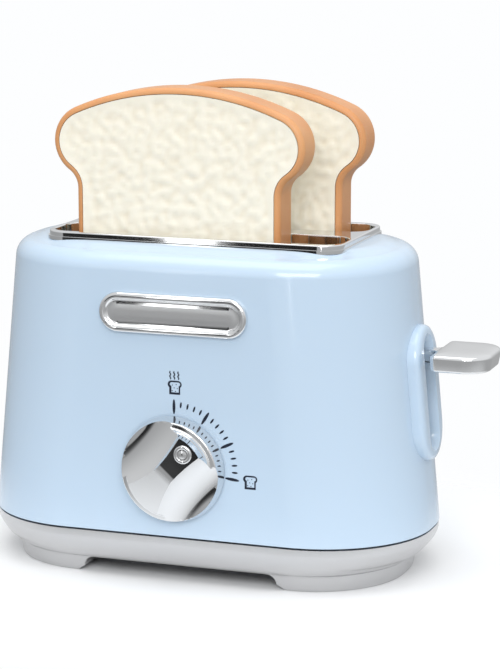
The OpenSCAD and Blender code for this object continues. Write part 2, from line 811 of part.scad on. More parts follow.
module tray() {
    floor_z = tray_z - tray_t;
    length = 2 * end_plate_in + 2;
    difference() {
        union() {
            translate([0, 0, floor_z + tray_t / 2]) cube([length, tray_w + 2 * lip_t, tray_t], center = true);
            for (side = [-1, 1]) {
                translate([0, side * (tray_w + lip_t) / 2, floor_z + (tray_t + lip_h) / 2])
                    cube([length, lip_t, tray_t + lip_h], center = true);
                translate([side * (tray_l + lip_t) / 2, 0, floor_z + (tray_t + lip_h) / 2])
                    cube([lip_t, tray_w + lip_t, tray_t + lip_h], center = true);
            }
        }
        for (i = [-3:3]) translate([i * 13, 0, floor_z - cut]) linear_extrude(tray_t + 2 * cut)
            rounded_square(8.5, tray_w - 5, 2);
    }
}

// Steel tab under the front tray that the catch holds
module striker() {
    front = catch_back + 4;
    back = slot_y;
    placed() color(steel) translate([striker_x, -front, tray_z - tray_t - striker_t]) difference() {
        cube([striker_w, front - back, striker_t]);
        translate([-cut, 0, 0]) rotate([45, 0, 0]) cube([striker_w + 2 * cut, 1.2, 1.2], center = false);
    }
}

// Flat steel arm with an eye round the right rod
module lever_arm() {
    placed() color(steel) translate([0, 0, tray_z]) linear_extrude(arm_t) difference() {
        union() {
            translate([arm_screw_x, -arm_w / 2]) square([arm_reach - arm_screw_x, arm_w]);
            translate([arm_screw_x, 0]) circle(small_screw_r + arm_t);
            translate([rod_x, 0]) circle(hub_r);
        }
        translate([arm_screw_x, 0]) circle(small_screw_r + run_gap);
        translate([rod_x, 0]) circle(rod_r + 0.4 * rod_r);
        translate([handle_screw_x, 0]) circle(small_screw_r + run_gap);
    }
}

// Chrome paddle with a crowned top, and the neck that covers the arm
module lever_handle() {
    tip_r = 9;
    heel_r = 2.2;
    flare_r = 3;
    crown_r = 150;
    placed() color(chrome) translate([0, 0, handle_z]) difference() {
        union() {
            intersection() {
                translate([0, 0, -handle_t / 2]) linear_extrude(handle_t) union() {
                    translate([handle_in + heel_r, -handle_w / 2])
                        square([handle_l - heel_r - tip_r, handle_w]);
                    translate([handle_in, heel_r - handle_w / 2])
                        square([handle_l - tip_r, handle_w - 2 * heel_r]);
                    translate([handle_out - tip_r, tip_r - handle_w / 2])
                        square([tip_r, handle_w - 2 * tip_r]);
                    for (side = [-1, 1]) {
                        translate([handle_in + heel_r, side * (handle_w / 2 - heel_r)]) circle(heel_r);
                        translate([handle_out - tip_r, side * (handle_w / 2 - tip_r)]) circle(tip_r);
                    }
                }
                translate([handle_in + handle_l / 2, 0, handle_t / 2 - crown_r])
                    sphere(r = crown_r, $fn = 200);
            }
            translate([neck_in, 0, 0]) rotate([90, 0, 90]) linear_extrude(handle_in + heel_r - neck_in)
                rounded_square(neck_w, neck_t, neck_t / 2 - 0.3);
            translate([0, 0, -neck_t / 2]) linear_extrude(neck_t) difference() {
                translate([handle_in - flare_r, -neck_w / 2 - flare_r])
                    square([flare_r + 0.5, neck_w + 2 * flare_r]);
                for (side = [-1, 1]) translate([handle_in - flare_r, side * (neck_w / 2 + flare_r)])
                    circle(flare_r);
            }
        }
        translate([neck_in - cut, -arm_w / 2 - run_gap, -arm_t / 2 - run_gap])
            cube([arm_reach + 0.2 - neck_in + cut, arm_w + 2 * run_gap, arm_t + 2 * run_gap]);
        translate([handle_screw_x, 0, -handle_t]) {
            cylinder(h = handle_t + 2.4, r = small_screw_r + run_gap);
            cylinder(h = handle_t / 2 + small_head_h + seat_gap, r = 2 * small_screw_r + seat_gap);
        }
    }
}

// One screw holds the arm on the carriage and one holds the handle on the arm
module lever_screws() {
    placed() color(steel) {
        translate([arm_screw_x, 0, tray_z - small_screw_l])
            cylinder(h = small_screw_l + arm_t + small_head_h / 2, r = small_screw_r);
        translate([arm_screw_x, 0, arm_top]) cylinder(h = small_head_h, r = 2 * small_screw_r);
        translate([handle_screw_x, 0, handle_z - handle_t / 2 + seat_gap]) {
            cylinder(h = small_head_h, r = 2 * small_screw_r);
            cylinder(h = handle_t / 2 + 2, r = small_screw_r);
        }
    }
}

// Chrome knob: a disc with a bevelled lip, scooped on both sides of a waisted bar
module dial_knob() {
    scoop_r = 12;
    floor_h = knob_rim_h - 1.5;
    half_l = knob_r - knob_taper - 2;
    lip_r = knob_r - knob_taper;
    swell = (knob_end_w - knob_waist) / 2;
    waist_r = (half_l * half_l + swell * swell) / (2 * swell);
    scoop_z = floor_h + scoop_r;
    scoop_side = sqrt(scoop_r * scoop_r - pow(scoop_z - knob_bar_h, 2));
    tail_slope = atan((knob_bar_h - knob_rim_h - 0.6) / half_l);
    placed() color(chrome) on_dial(knob_back) rotate(-pointer_angle) difference() {
        union() {
            difference() {
                rotate_extrude($fn = 128) polygon([
                    [0, 0], [knob_r - 0.4, 0], [knob_r, 0.4], [lip_r, knob_rim_h - 0.8],
                    [lip_r - 0.6, knob_rim_h], [lip_r - 1.6, knob_rim_h],
                    [lip_r - 2.3, knob_rim_h + 0.5], [lip_r - 3.3, knob_bar_h], [0, knob_bar_h]
                ]);
                for (side = [-1, 1]) translate([side * (knob_waist / 2 + waist_r), 0, scoop_z])
                    rotate_extrude($fn = 160) translate([waist_r - scoop_side, 0]) circle(scoop_r);
                translate([0, 0, knob_bar_h]) rotate([tail_slope, 0, 0])
                    translate([-knob_r, -3 * knob_r, 0]) cube([2 * knob_r, 3 * knob_r, knob_bar_h]);
            }
            translate([0, half_l * 0.66, knob_bar_h - knob_boss_h])
                cylinder(h = 2 * knob_boss_h, r = 3.4);
        }
        translate([0, 0, -cut]) linear_extrude(knob_socket + cut) shaft_section(run_gap);
    }
}

// Section of the shaft's end inside the knob, round with a flat on one side
module shaft_section(gap) {
    difference() {
        circle(tenon_r + gap);
        translate([-2 * shaft_r, flat_r + gap]) square(4 * shaft_r);
    }
}

module dial_shaft() {
    placed() color(steel) {
        on_dial(shaft_back) cylinder(h = clip_y - clip_t - shaft_back, r = shaft_r);
        on_dial(clip_y - clip_t - 0.5) cylinder(h = clip_t + 1, r = groove_r);
        on_dial(clip_y) cylinder(h = knob_back - clip_y, r = shaft_r);
        on_dial(knob_back - 0.5) rotate(-pointer_angle) linear_extrude(knob_socket + 0.3) shaft_section(0);
    }
}

// Wheel with a row of notches, one for each click
module click_wheel() {
    placed() color(inside_grey) translate([0, 0, dial_z]) facing_front(wheel_y, wheel_y - wheel_t)
        difference() {
            circle(wheel_r, $fn = 96);
            circle(shaft_r + run_gap);
            for (i = [-6:8]) rotate(180 + i * click_step) translate([wheel_r + 0.3, 0]) circle(notch_r);
            for (i = [0:4]) rotate(100 - i * 50) translate([wheel_r * 0.62, 0]) circle(2.2);
        }
}

// Cam whose lobe comes up against the catch spring at the top of the dial's scale
module release_cam() {
    lobe_tip = 2.2;
    placed() color(inside_grey) translate([0, 0, dial_z]) facing_front(cam_y, cam_y - cam_t) difference() {
        rotate(-pointer_angle) union() {
            circle(shaft_r + 3);
            translate([cam_r - lobe_tip, 0]) circle(lobe_tip);
            translate([0, -lobe_tip]) square([cam_r - lobe_tip, 2 * lobe_tip]);
        }
        circle(shaft_r + run_gap);
    }
}

// Open ring that snaps into the shaft's groove
module shaft_clip() {
    placed() color(steel) translate([0, 0, dial_z]) facing_front(clip_y - run_gap, clip_y - clip_t + run_gap)
        difference() {
            circle(shaft_r + 2);
            circle(groove_r + run_gap);
            translate([-groove_r * 0.8, -2 * shaft_r]) square([groove_r * 1.6, 2 * shaft_r]);
        }
}

// Frame of a slice: local X across, local Y up and local Z towards the front
module at_slice(side) {
    placed() translate([side * slice_play, side * slot_y, tray_z]) rotate([90, 0, 0]) children();
}

// Crust with rounded edges and a recess for a face panel on both sides.
// Its section is a list of insets and half depths, from the middle of the outside to the inside.
module slice_crust(side) {
    face_z = slice_t / 2 - face_t;
    section = concat(
        [for (a = [90:-30:0]) [crust_r * (1 - sin(a)), slice_t / 2 - crust_r * (1 - cos(a))]],
        [[crust_w - seat_gap, slice_t / 2], [crust_w - seat_gap, face_z], [crust_w + ledge_w, face_z]]
    );
    at_slice(side) color(crust_brown) loft(concat(
        [for (s = section) at_height(slice_outline(s[0]), s[1])],
        [for (s = reversed(section)) at_height(slice_outline(s[0]), -s[1])]
    ), looped = true);
}

module slice_face(side, z) {
    at_slice(side) color(crumb_cream) translate([0, 0, z]) linear_extrude(face_t)
        polygon(slice_outline(crust_w));
}

module front_slice_crust() {
    slice_crust(-1);
}

module front_slice_near_face() {
    slice_face(-1, slice_t / 2 - face_t);
}

module front_slice_far_face() {
    slice_face(-1, -slice_t / 2);
}

module rear_slice_crust() {
    slice_crust(1);
}

module rear_slice_near_face() {
    slice_face(1, slice_t / 2 - face_t);
}

module rear_slice_far_face() {
    slice_face(1, -slice_t / 2);
}

housing();
slot_trim();
badge_plate();
lever_bezel();
base_skirt();
bottom_plate();
housing_screws();
guide_rods();
stop_rings();
front_guard();
centre_guard();
rear_guard();
dial_bush();
catch_spring();
click_spring();
return_spring_left();
return_spring_right();
carriage();
striker();
lever_arm();
lever_handle();
lever_screws();
dial_knob();
dial_shaft();
click_wheel();
release_cam();
shaft_clip();
front_slice_crust();
front_slice_near_face();
front_slice_far_face();
rear_slice_crust();
rear_slice_near_face();
rear_slice_far_face();
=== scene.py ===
import math
import bmesh
import bpy
from mathutils import Matrix, Vector
from mathutils.kdtree import KDTree


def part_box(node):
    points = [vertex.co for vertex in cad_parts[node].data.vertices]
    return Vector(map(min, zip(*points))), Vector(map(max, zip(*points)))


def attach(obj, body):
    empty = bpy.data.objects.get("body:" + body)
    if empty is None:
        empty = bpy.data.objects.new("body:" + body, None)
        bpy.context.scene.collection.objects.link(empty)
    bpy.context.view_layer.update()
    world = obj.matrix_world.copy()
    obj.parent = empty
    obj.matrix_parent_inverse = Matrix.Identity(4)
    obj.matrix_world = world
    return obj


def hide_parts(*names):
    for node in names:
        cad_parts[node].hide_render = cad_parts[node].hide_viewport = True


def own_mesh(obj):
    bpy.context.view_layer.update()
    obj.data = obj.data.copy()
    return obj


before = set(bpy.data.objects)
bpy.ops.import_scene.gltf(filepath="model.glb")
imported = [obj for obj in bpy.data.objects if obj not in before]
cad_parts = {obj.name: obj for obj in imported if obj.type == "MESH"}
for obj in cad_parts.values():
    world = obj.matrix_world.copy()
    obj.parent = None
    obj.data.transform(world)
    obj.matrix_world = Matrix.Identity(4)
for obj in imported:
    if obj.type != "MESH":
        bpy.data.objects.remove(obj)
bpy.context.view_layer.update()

# Camera. It looks down a little at the front of the toaster from its lever side,
# about a metre away, and the pieces are placed from the middle of the housing.
low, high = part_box("housing")
middle = Vector(((low[0] + high[0]) / 2, (low[1] + high[1]) / 2, 0))
mm = 0.001


def at(x, y, z):
    """Place in the frame, in metres, of a point in mm from the housing's middle on the floor."""
    return middle + Vector((x, y, z)) * mm


bpy.ops.object.select_all(action="DESELECT")
turn, rise, distance = math.radians(19.4), math.radians(11.1), 0.95
target = at(13.9, 0, 87.7)
back = Vector((math.sin(turn) * math.cos(rise), -math.cos(turn) * math.cos(rise), math.sin(rise)))
bpy.ops.object.camera_add(location=target + back * distance)
camera = bpy.context.object
camera.rotation_euler = back.to_track_quat("Z", "Y").to_euler()
camera.data.lens = 133.6
camera.data.clip_end = 20
bpy.context.scene.camera = camera
bpy.context.scene.view_settings.view_transform = "Standard"

# Studio. A white paper floor that fades into a white backdrop, soft light from above and from the
# front, a dimmer left side, and a dark card low in front, left of the camera, for the chrome to mirror.


def linear(code):
    """Linear colour of an sRGB hex value."""
    parts = [int(code[i:i + 2], 16) / 255 for i in (0, 2, 4)]
    return [p / 12.92 if p <= 0.04045 else ((p + 0.055) / 1.055) ** 2.4 for p in parts] + [1]


def add(tree, kind, values=(), feeds=(), **settings):
    """One node with its settings, its own values and its links."""
    node = tree.nodes.new(kind)
    for name, value in settings.items():
        setattr(node, name, value)
    for name, value in dict(values).items():
        node.inputs[name].default_value = value
    for name, source in dict(feeds).items():
        tree.links.new(source, node.inputs[name])
    return node


def finish_of(name, **surface):
    """A material with one surface shader, and that shader's node."""
    material = bpy.data.materials.new(name)
    material.use_nodes = True
    material.node_tree.nodes.clear()
    shader = add(material.node_tree, "ShaderNodeBsdfPrincipled", surface)
    add(material.node_tree, "ShaderNodeOutputMaterial", feeds={"Surface": shader.outputs[0]})
    return material, material.node_tree, shader


def ramp(tree, source, start, end, low=0, high=1):
    """A soft change from low to high while the source goes from start to end."""
    limits = {"From Min": start, "From Max": end, "To Min": low, "To Max": high}
    return add(tree, "ShaderNodeMapRange", limits, {"Value": source}, interpolation_type="SMOOTHSTEP")


def times(tree, one, other):
    """The product of two nodes."""
    return add(tree, "ShaderNodeMath", feeds={0: one.outputs[0], 1: other.outputs[0]}, operation="MULTIPLY")


def coat(piece, material):
    """Gives a piece one material."""
    piece.data.materials.clear()
    piece.data.materials.append(material)


bpy.ops.mesh.primitive_plane_add(size=3, location=middle)
bpy.ops.object.transform_apply(location=True, rotation=True, scale=True)
floor = bpy.context.object
floor.name = "floor"
paper, tree, shader = finish_of("matt_white_paper", **{"Base Color": linear("F3F4F5"), "Roughness": 0.9})
place = add(tree, "ShaderNodeTexCoord")
centred = add(tree, "ShaderNodeVectorMath", {1: tuple(-middle)}, {0: place.outputs["Object"]},
              operation="ADD")
oval = add(tree, "ShaderNodeVectorMath", {1: (1, 1.7, 1)}, {0: centred.outputs[0]}, operation="MULTIPLY")
reach = add(tree, "ShaderNodeVectorMath", feeds={0: oval.outputs[0]}, operation="LENGTH")
fade = ramp(tree, reach.outputs["Value"], 0.12, 0.29)
clear = add(tree, "ShaderNodeBsdfTransparent")
faded = {0: fade.outputs[0], 1: shader.outputs[0], 2: clear.outputs[0]}
both = add(tree, "ShaderNodeMixShader", feeds=faded)
output = [node for node in tree.nodes if node.type == "OUTPUT_MATERIAL"][0]
tree.links.new(both.outputs[0], output.inputs["Surface"])
coat(floor, paper)


def lamp(name, place, size, power, aim):
    """A rectangular softbox that faces a point."""
    bpy.ops.object.light_add(type="AREA", location=place)
    box = bpy.context.object
    box.name = name
    box.data.shape = "RECTANGLE"
    box.data.size, box.data.size_y = size
    box.data.energy = power
    box.rotation_euler = (Vector(place) - Vector(aim)).to_track_quat("Z", "Y").to_euler()


lamp("softbox_above", (0.0, -0.15, 1.2), (1.0, 0.9), 4.5, (0, 0, 0.08))
lamp("softbox_front", (0.35, -1.2, 0.75), (1.0, 0.5), 8, (0, 0, 0.08))
lamp("strip_left", (-0.36, -0.95, 0.22), (0.04, 0.5), 0.15, (0, 0, 0.1))
lamp("strip_right", (0.13, -1.0, 0.22), (0.05, 0.5), 0.2, (0, 0, 0.1))

world = bpy.data.worlds.new("studio")
bpy.context.scene.world = world
world.use_nodes = True
tree = world.node_tree
tree.nodes.clear()
look = add(tree, "ShaderNodeTexCoord")
ways = add(tree, "ShaderNodeSeparateXYZ", feeds={0: look.outputs["Generated"]})
x, y, z = (ways.outputs[name] for name in "XYZ")
height = ramp(tree, z, -0.3, 0.5, 0.45, 0.95)
dim_left = ramp(tree, x, -0.95, 0.1, 0.8, 1.0)
card_side = times(tree, ramp(tree, x, -0.255, -0.29), ramp(tree, y, -0.87, -0.91))
card = times(tree, card_side, ramp(tree, z, 0.04, -0.04))
beside_card = add(tree, "ShaderNodeMapRange", {"To Min": 1.0, "To Max": 0.04}, {"Value": card.outputs[0]})
level = times(tree, times(tree, height, dim_left), beside_card)
ray = add(tree, "ShaderNodeLightPath")
power = add(tree, "ShaderNodeMix", {3: 1.0}, {0: ray.outputs["Is Camera Ray"], 2: level.outputs[0]})
glow = add(tree, "ShaderNodeBackground", {"Color": linear("FDFEFF")}, {"Strength": power.outputs[0]})
add(tree, "ShaderNodeOutputWorld", feeds={"Surface": glow.outputs[0]})

# Base skirt. One ABS moulding sprayed in satin silver, with a foot round each end, screwed up into
# the housing; its side curves in like a bowl, further at the ends, down to a fine step and the feet.


def block(name, low, high):
    """A box between two corners, as a mesh in the frame."""
    bpy.ops.object.select_all(action="DESELECT")
    bpy.ops.mesh.primitive_cube_add(size=1, location=(Vector(low) + Vector(high)) / 2)
    piece = bpy.context.object
    piece.name = piece.data.name = name
    piece.scale = Vector(high) - Vector(low)
    bpy.ops.object.transform_apply(location=True, rotation=True, scale=True)
    return piece


def shape(piece):
    """Edit mode on one piece."""
    bpy.ops.object.select_all(action="DESELECT")
    piece.select_set(True)
    bpy.context.view_layer.objects.active = piece
    bpy.ops.object.mode_set(mode="EDIT")


def shaped():
    """Back to object mode."""
    bpy.ops.object.mode_set(mode="OBJECT")


def pick(piece, kind, wanted):
    """Selects the edges or faces that pass a test, and nothing else."""
    bpy.ops.mesh.select_mode(type=kind)
    bpy.ops.mesh.select_all(action="DESELECT")
    mesh = bmesh.from_edit_mesh(piece.data)
    for part in mesh.edges if kind == "EDGE" else mesh.faces:
        if wanted(part):
            part.select_set(True)
    bmesh.update_edit_mesh(piece.data)


def upright(edge):
    """An edge that runs up and down, or nearly."""
    rise = edge.verts[0].co - edge.verts[1].co
    return abs(rise.z) > 0.9 * rise.length


def facing(direction, least=0.99):
    """A test for the faces that look one way."""
    direction = Vector(direction).normalized()
    return lambda face: face.normal.dot(direction) > least


def rim_of(direction):
    """A test for the edges round the faces that look one way."""
    seen = facing(direction)
    return lambda edge: sum(seen(face) for face in edge.link_faces) == 1


def step_face(inset, rise):
    """Draws the selected face in and moves it along its normal, both in metres."""
    bpy.ops.mesh.inset(thickness=max(inset, 1e-6), depth=rise, use_even_offset=True)


def step_faces(*rows):
    """The same for a row of steps, in mm."""
    for inset, rise in rows:
        step_face(inset * mm, rise * mm)


def cut(piece, tool, how="DIFFERENCE"):
    """Cuts, joins or keeps the part shared with a tool, which is then gone."""
    change = piece.modifiers.new("cut", "BOOLEAN")
    change.operation, change.object, change.solver = how, tool, "MANIFOLD"
    apply(piece)
    bpy.data.objects.remove(tool)


def apply(piece):
    """Applies the modifiers in their order."""
    bpy.ops.object.select_all(action="DESELECT")
    piece.select_set(True)
    bpy.context.view_layer.objects.active = piece
    for change in [m.name for m in piece.modifiers]:
        bpy.ops.object.modifier_apply(modifier=change)


def soften(piece, width, angle=35, segments=3):
    """Rounds the sharp edges that a mould can't leave, and evens the shading."""
    edge = piece.modifiers.new("edge", "BEVEL")
    edge.width, edge.segments, edge.limit_method = width, segments, "ANGLE"
    edge.angle_limit = math.radians(angle)
    apply(piece)
    smooth(piece)


def smooth(piece, angle=40):
    """Smooth shading that breaks at edges sharper than an angle in degrees."""
    bpy.ops.object.select_all(action="DESELECT")
    piece.select_set(True)
    bpy.context.view_layer.objects.active = piece
    bpy.ops.object.shade_smooth_by_angle(angle=math.radians(angle))
    even = piece.modifiers.new("even", "WEIGHTED_NORMAL")
    even.keep_sharp = True
    even.weight = 60
    apply(piece)


def round_block(name, low, high, radius, segments=32):
    """A box with its upright edges rounded."""
    piece = block(name, low, high)
    shape(piece)
    pick(piece, "EDGE", upright)
    bpy.ops.mesh.bevel(offset=radius, segments=segments, affect="EDGES")
    shaped()
    return piece


def round_bar(name, x, y, radius, low, high):
    """An upright round bar, in mm."""
    bpy.ops.object.select_all(action="DESELECT")
    bpy.ops.mesh.primitive_cylinder_add(vertices=48, radius=radius * mm, depth=(high - low) * mm,
                                        location=at(x, y, (low + high) / 2))
    bar = bpy.context.object
    bar.name = bar.data.name = name
    bpy.ops.object.transform_apply(location=True, rotation=True, scale=True)
    return bar


half_x, half_y, down = 87.25, 45.7, 15.5
skirt = round_block("silver_skirt", at(-half_x, -half_y, down), at(half_x, half_y, 17.7), 42.7 * mm)
shape(skirt)
pick(skirt, "FACE", facing((0, 0, -1)))
for next_z, next_x, next_y in (
        (14.5, 86.95, 45.62), (13.2, 86.35, 45.42), (12.0, 85.5, 45.17), (11.0, 84.75, 44.87),
        (10.1, 84.0, 44.57), (9.3, 83.25, 44.22), (9.05, 82.4, 43.5), (8.3, 81.75, 43.2),
        (7.5, 80.85, 42.85), (6.8, 79.7, 42.25), (6.3, 78.4, 41.6), (5.6, 78.2, 41.25),
        (3.0, 78.0, 40.45), (0.9, 77.75, 39.8), (0.25, 77.5, 39.45), (0, 77.2, 39.15)):
    inset = half_y - next_y
    step_face(inset * mm, (down - next_z) * mm)
    bpy.ops.transform.resize(value=(next_x / (half_x - inset), 1, 1), center_override=middle)
    half_x, half_y, down = next_x, next_y, next_z
shaped()
screws = [(x, y) for x in (-48.5, 48.5) for y in (-33.5, 33.5)]
cut(skirt, round_block("hollow", at(-68.2, -30.15, -1), at(68.2, 30.15, 30), 27.1 * mm))
gap = block("gap", at(-43.5, -60, -1), at(43.5, 60, 2.2))
shape(gap)
pick(gap, "FACE", facing((0, 0, 1)))
bpy.ops.transform.resize(value=(38.5 / 43.5, 1, 1))
bpy.ops.mesh.extrude_region_move(TRANSFORM_OT_translate={"value": (0, 0, 4 * mm)})
pick(gap, "EDGE", lambda edge: rim_of((0, 0, 1))(edge)
     and abs((edge.verts[0].co - edge.verts[1].co).y) > 10 * mm)
bpy.ops.mesh.bevel(offset=3.95 * mm, segments=8, affect="EDGES")
shaped()
cut(skirt, gap)
wide = round_block("wide", at(-80.5, -39, 5), at(80.5, 39, 11.5), 36 * mm)
cut(wide, block("room", at(-34.2, -60, 4), at(34.2, 60, 13)), "INTERSECT")
cut(skirt, wide)
ledge = round_block("ledge", at(-80.9, -39.4, 10.5), at(80.9, 39.4, 14), 36.4 * mm)
for x, y in screws:
    cut(ledge, round_bar("pad", x, y, 5.5, 5, 15))
cut(skirt, ledge)
cut(skirt, round_block("seat", at(-84.1, -42.6, 13.8), at(84.1, 42.6, 30), 39.6 * mm))
for x, y in screws:
    cut(skirt, round_bar("counterbore", x, y, 3.3, -5, 11.5))
    cut(skirt, round_bar("shank", x, y, 1.7, -5, 20))
soften(skirt, 0.35 * mm, 50, 2)


def grained(tree, shader, scale, detail, strength, depth):
    """Gives a surface a fine unevenness, its depth in metres."""
    place = add(tree, "ShaderNodeTexCoord")
    noise = add(tree, "ShaderNodeTexNoise", {"Scale": scale, "Detail": detail},
                {"Vector": place.outputs["Object"]})
    bump = add(tree, "ShaderNodeBump", {"Strength": strength, "Distance": depth},
               {"Height": noise.outputs[0]})
    tree.links.new(bump.outputs[0], shader.inputs["Normal"])


silver, tree, shader = finish_of("satin_silver_lacquer_on_abs", **{
    "Base Color": linear("C8C8C9"), "Metallic": 0.85, "Roughness": 0.25})
grained(tree, shader, 2500, 1, 0.06, 0.0001)  # flakes in the lacquer
coat(skirt, silver)
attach(skirt, "case")
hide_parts("base_skirt")

# Housing. One ABS moulding in glossy light blue, open below, that narrows upwards;
# its top is slightly crowned and has the openings for the slots, lever, dial and plate.
half_w, half_d, foot_z, flank_top, wall_h = 87.5, 46, 18.5, 124.2, 107.5
side_draw, front_draw = 10, 1
slot_y, rod_x = 16.5, 68.1
drawn = (flank_top - foot_z) / wall_h
housing = block("blue_housing", at(-half_w, -half_d, foot_z), at(half_w, half_d, flank_top))
shape(housing)
pick(housing, "FACE", facing((0, 0, 1)))
bpy.ops.transform.resize(value=(1 - side_draw * drawn / half_w, 1 - front_draw * drawn / half_d, 1))
pick(housing, "EDGE", upright)
bpy.ops.mesh.bevel(offset=43 * mm, segments=40, affect="EDGES")
pick(housing, "EDGE", rim_of((0, 0, 1)))
bpy.ops.mesh.bevel(offset=6.6 * mm, segments=10, affect="EDGES")
pick(housing, "FACE", facing((0, 0, 1), 0.9999))
step_faces((1.5, 0.55), (1.5, 0.5), (1.5, 0.4), (1.5, 0.25), (1.5, 0.1))
shaped()
bpy.ops.object.duplicate()
outer_form = bpy.context.object
shape(housing)
pick(housing, "FACE", facing((0, 0, -1)))
bpy.ops.mesh.delete(type="FACE")
shaped()
skin = housing.modifiers.new("wall", "SOLIDIFY")
skin.thickness, skin.offset, skin.use_even_offset = 2.5 * mm, -1, True
apply(housing)
for side in (-1, 1):
    y = side * slot_y
    opening = round_block("opening", at(-58.5, y - 11.9, 110), at(58.5, y + 11.9, 135), 8.3 * mm, 12)
    cut(housing, opening)
for x, y in screws:
    inward = math.copysign(1, y)
    rib = block("rib", at(x - 1, min(y, 44 * inward), 18.8), at(x + 1, max(y, 44 * inward), 40.3))
    cut(housing, rib, "UNION")
    cut(housing, round_bar("boss", x, y, 4, 16.3, 40.3), "UNION")
    cut(housing, round_bar("bore", x, y, 1.56, 10, 28.3))
for x in (-rod_x, rod_x):
    cut(housing, round_bar("socket", x, 0, 4.6, 112, 123.5), "UNION")
    cut(housing, round_bar("bore", x, 0, 2.06, 105, 118.5))


def wall_frame(side, height):
    """Frame on the right or front wall: X across, Y up the wall and Z outwards."""
    across, out, half, draw = {
        "right": (Vector((0, 1, 0)), Vector((1, 0, 0)), half_w, side_draw),
        "front": (Vector((1, 0, 0)), Vector((0, -1, 0)), half_d, front_draw)}[side]
    lean, up = math.atan(draw / wall_h), Vector((0, 0, 1))
    reach = half - draw * (height - foot_z) / wall_h
    axes = across, up * math.cos(lean) - out * math.sin(lean), out * math.cos(lean) + up * math.sin(lean)
    origin = at(0, 0, height) + out * reach * mm
    turned = Matrix(axes).transposed().to_4x4()
    return Matrix.Translation(origin) @ turned


def set_on(piece, frame_there):
    """Moves a mesh that was made flat at the origin to a wall."""
    piece.data.transform(frame_there)
    piece.data.update()


def lozenge(name, width, height, back, front, segments=24):
    """A flat capsule in mm, made at the origin and facing Z."""
    short = min(width, height)
    piece = round_block(name, Vector((-width / 2, -height / 2, back)) * mm,
                        Vector((width / 2, height / 2, front)) * mm, short / 2 * mm * 0.9999, segments)
    shape(piece)
    bpy.ops.mesh.select_all(action="SELECT")
    bpy.ops.mesh.remove_doubles(threshold=0.02 * mm)
    shaped()
    return piece


slot_middle, dial_z, plate_z = 70.1, 44.5, 102.5
opening = lozenge("opening", 12.5, 43.8, -8, 8)
set_on(opening, wall_frame("right", slot_middle))
cut(housing, opening)
bpy.ops.mesh.primitive_cylinder_add(vertices=64, radius=5.2 * mm, depth=14 * mm,
                                    location=at(0, -half_d, dial_z), rotation=(math.pi / 2, 0, 0))
cut(housing, bpy.context.object)
recess = lozenge("recess", 55, 12, -0.7, 3)
set_on(recess, wall_frame("front", plate_z))
cut(housing, recess)
soften(housing, 0.25 * mm, 55, 2)

gloss_blue, tree, shader = finish_of("gloss_moulded_abs_light_blue", **{
    "Base Color": linear("BFD3E6"), "Roughness": 0.16, "IOR": 1.53,
    "Coat Weight": 0.25, "Coat Roughness": 0.05,
    "Subsurface Weight": 0.08, "Subsurface Scale": 0.004, "Subsurface Radius": (0.6, 0.8, 1.0)})
grained(tree, shader, 28, 1, 0.12, 0.0006)  # faint waves left by the mould
coat(housing, gloss_blue)
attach(housing, "case")
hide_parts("housing")

# Print on the front. Dark blue ink, pad-printed flush on the plastic: fifteen settings between
# sixteen ticks, with a plain slice of toast at each end of the scale and steam over the upper one.
front = wall_frame("front", dial_z - 0.2)


def printed(name, piece):
    """Turns a flat shape drawn in mm round the dial's middle into ink on the front wall."""
    piece.name = piece.data.name = name
    set_on(piece, front @ Matrix.Scale(mm, 4) @ Matrix.Translation((0.2, 0, 0.03)))
    return piece


def tick(angle, reach, length, width):
    """An oval stroke on a ray from the dial's middle, all in mm and degrees."""
    bpy.ops.object.select_all(action="DESELECT")
    bpy.ops.mesh.primitive_circle_add(vertices=28, radius=1, fill_type="NGON")
    stroke = bpy.context.object
    shape(stroke)
    bpy.ops.mesh.select_all(action="SELECT")
    bpy.ops.transform.resize(value=(width / 2, length / 2, 1))
    bpy.ops.transform.translate(value=(0, reach, 0))
    shaped()
    stroke.data.transform(Matrix.Rotation(-math.radians(angle), 4, "Z"))
    return stroke


ink_pieces = []
click = 6.45
for i in range(16):
    if i % 5 == 0:
        ink_pieces.append(tick(i * click, 23.0, 5.6, 1.15))
    else:
        ink_pieces.append(tick(i * click, 23.9, 2.3, 0.75))
    ink_pieces[-1].data.transform(Matrix.Translation((0, 0.8, 0)))


def toast_sign(x, y):
    """Outline of a slice, 5 mm wide, with crumbs in it, as one flat shape."""
    parts = []
    for grow, thick in ((0.1, 0.01), (-0.6, 1.2)):
        bpy.ops.object.select_all(action="DESELECT")
        sign = block("sign", (-2.05 - grow, -2.5 - grow, -thick), (2.05 + grow, 1.2 + grow, thick))
        for side in (-1, 1):
            bpy.ops.mesh.primitive_cylinder_add(vertices=28, radius=1.3 + grow, depth=2 * thick,
                                                location=(side * 1.35, 1.2, 0))
            cut(sign, bpy.context.object, "UNION")
        crown = block("crown", (-1.35, 0.4, -thick), (1.35, 2.5 + grow, thick))
        cut(sign, crown, "UNION")
        parts.append(sign)
    ring, inner = parts
    inner.data.transform(Matrix.Translation((0.15, 0.1, 0)))
    cut(ring, inner)
    for dot_x, dot_y in ((-0.9, 0.9), (0.6, 1.2), (-0.2, -0.1), (1.0, -0.3), (-1.0, -1.2), (0.3, -1.4)):
        bpy.ops.mesh.primitive_cylinder_add(vertices=12, radius=0.2, depth=0.02, location=(dot_x, dot_y, 0))
        cut(ring, bpy.context.object, "UNION")
    ring.data.transform(Matrix.Translation((x, y, 0)))
    return ring


ink_pieces += [toast_sign(0.3, 31.0), toast_sign(29.9, -2.5)]


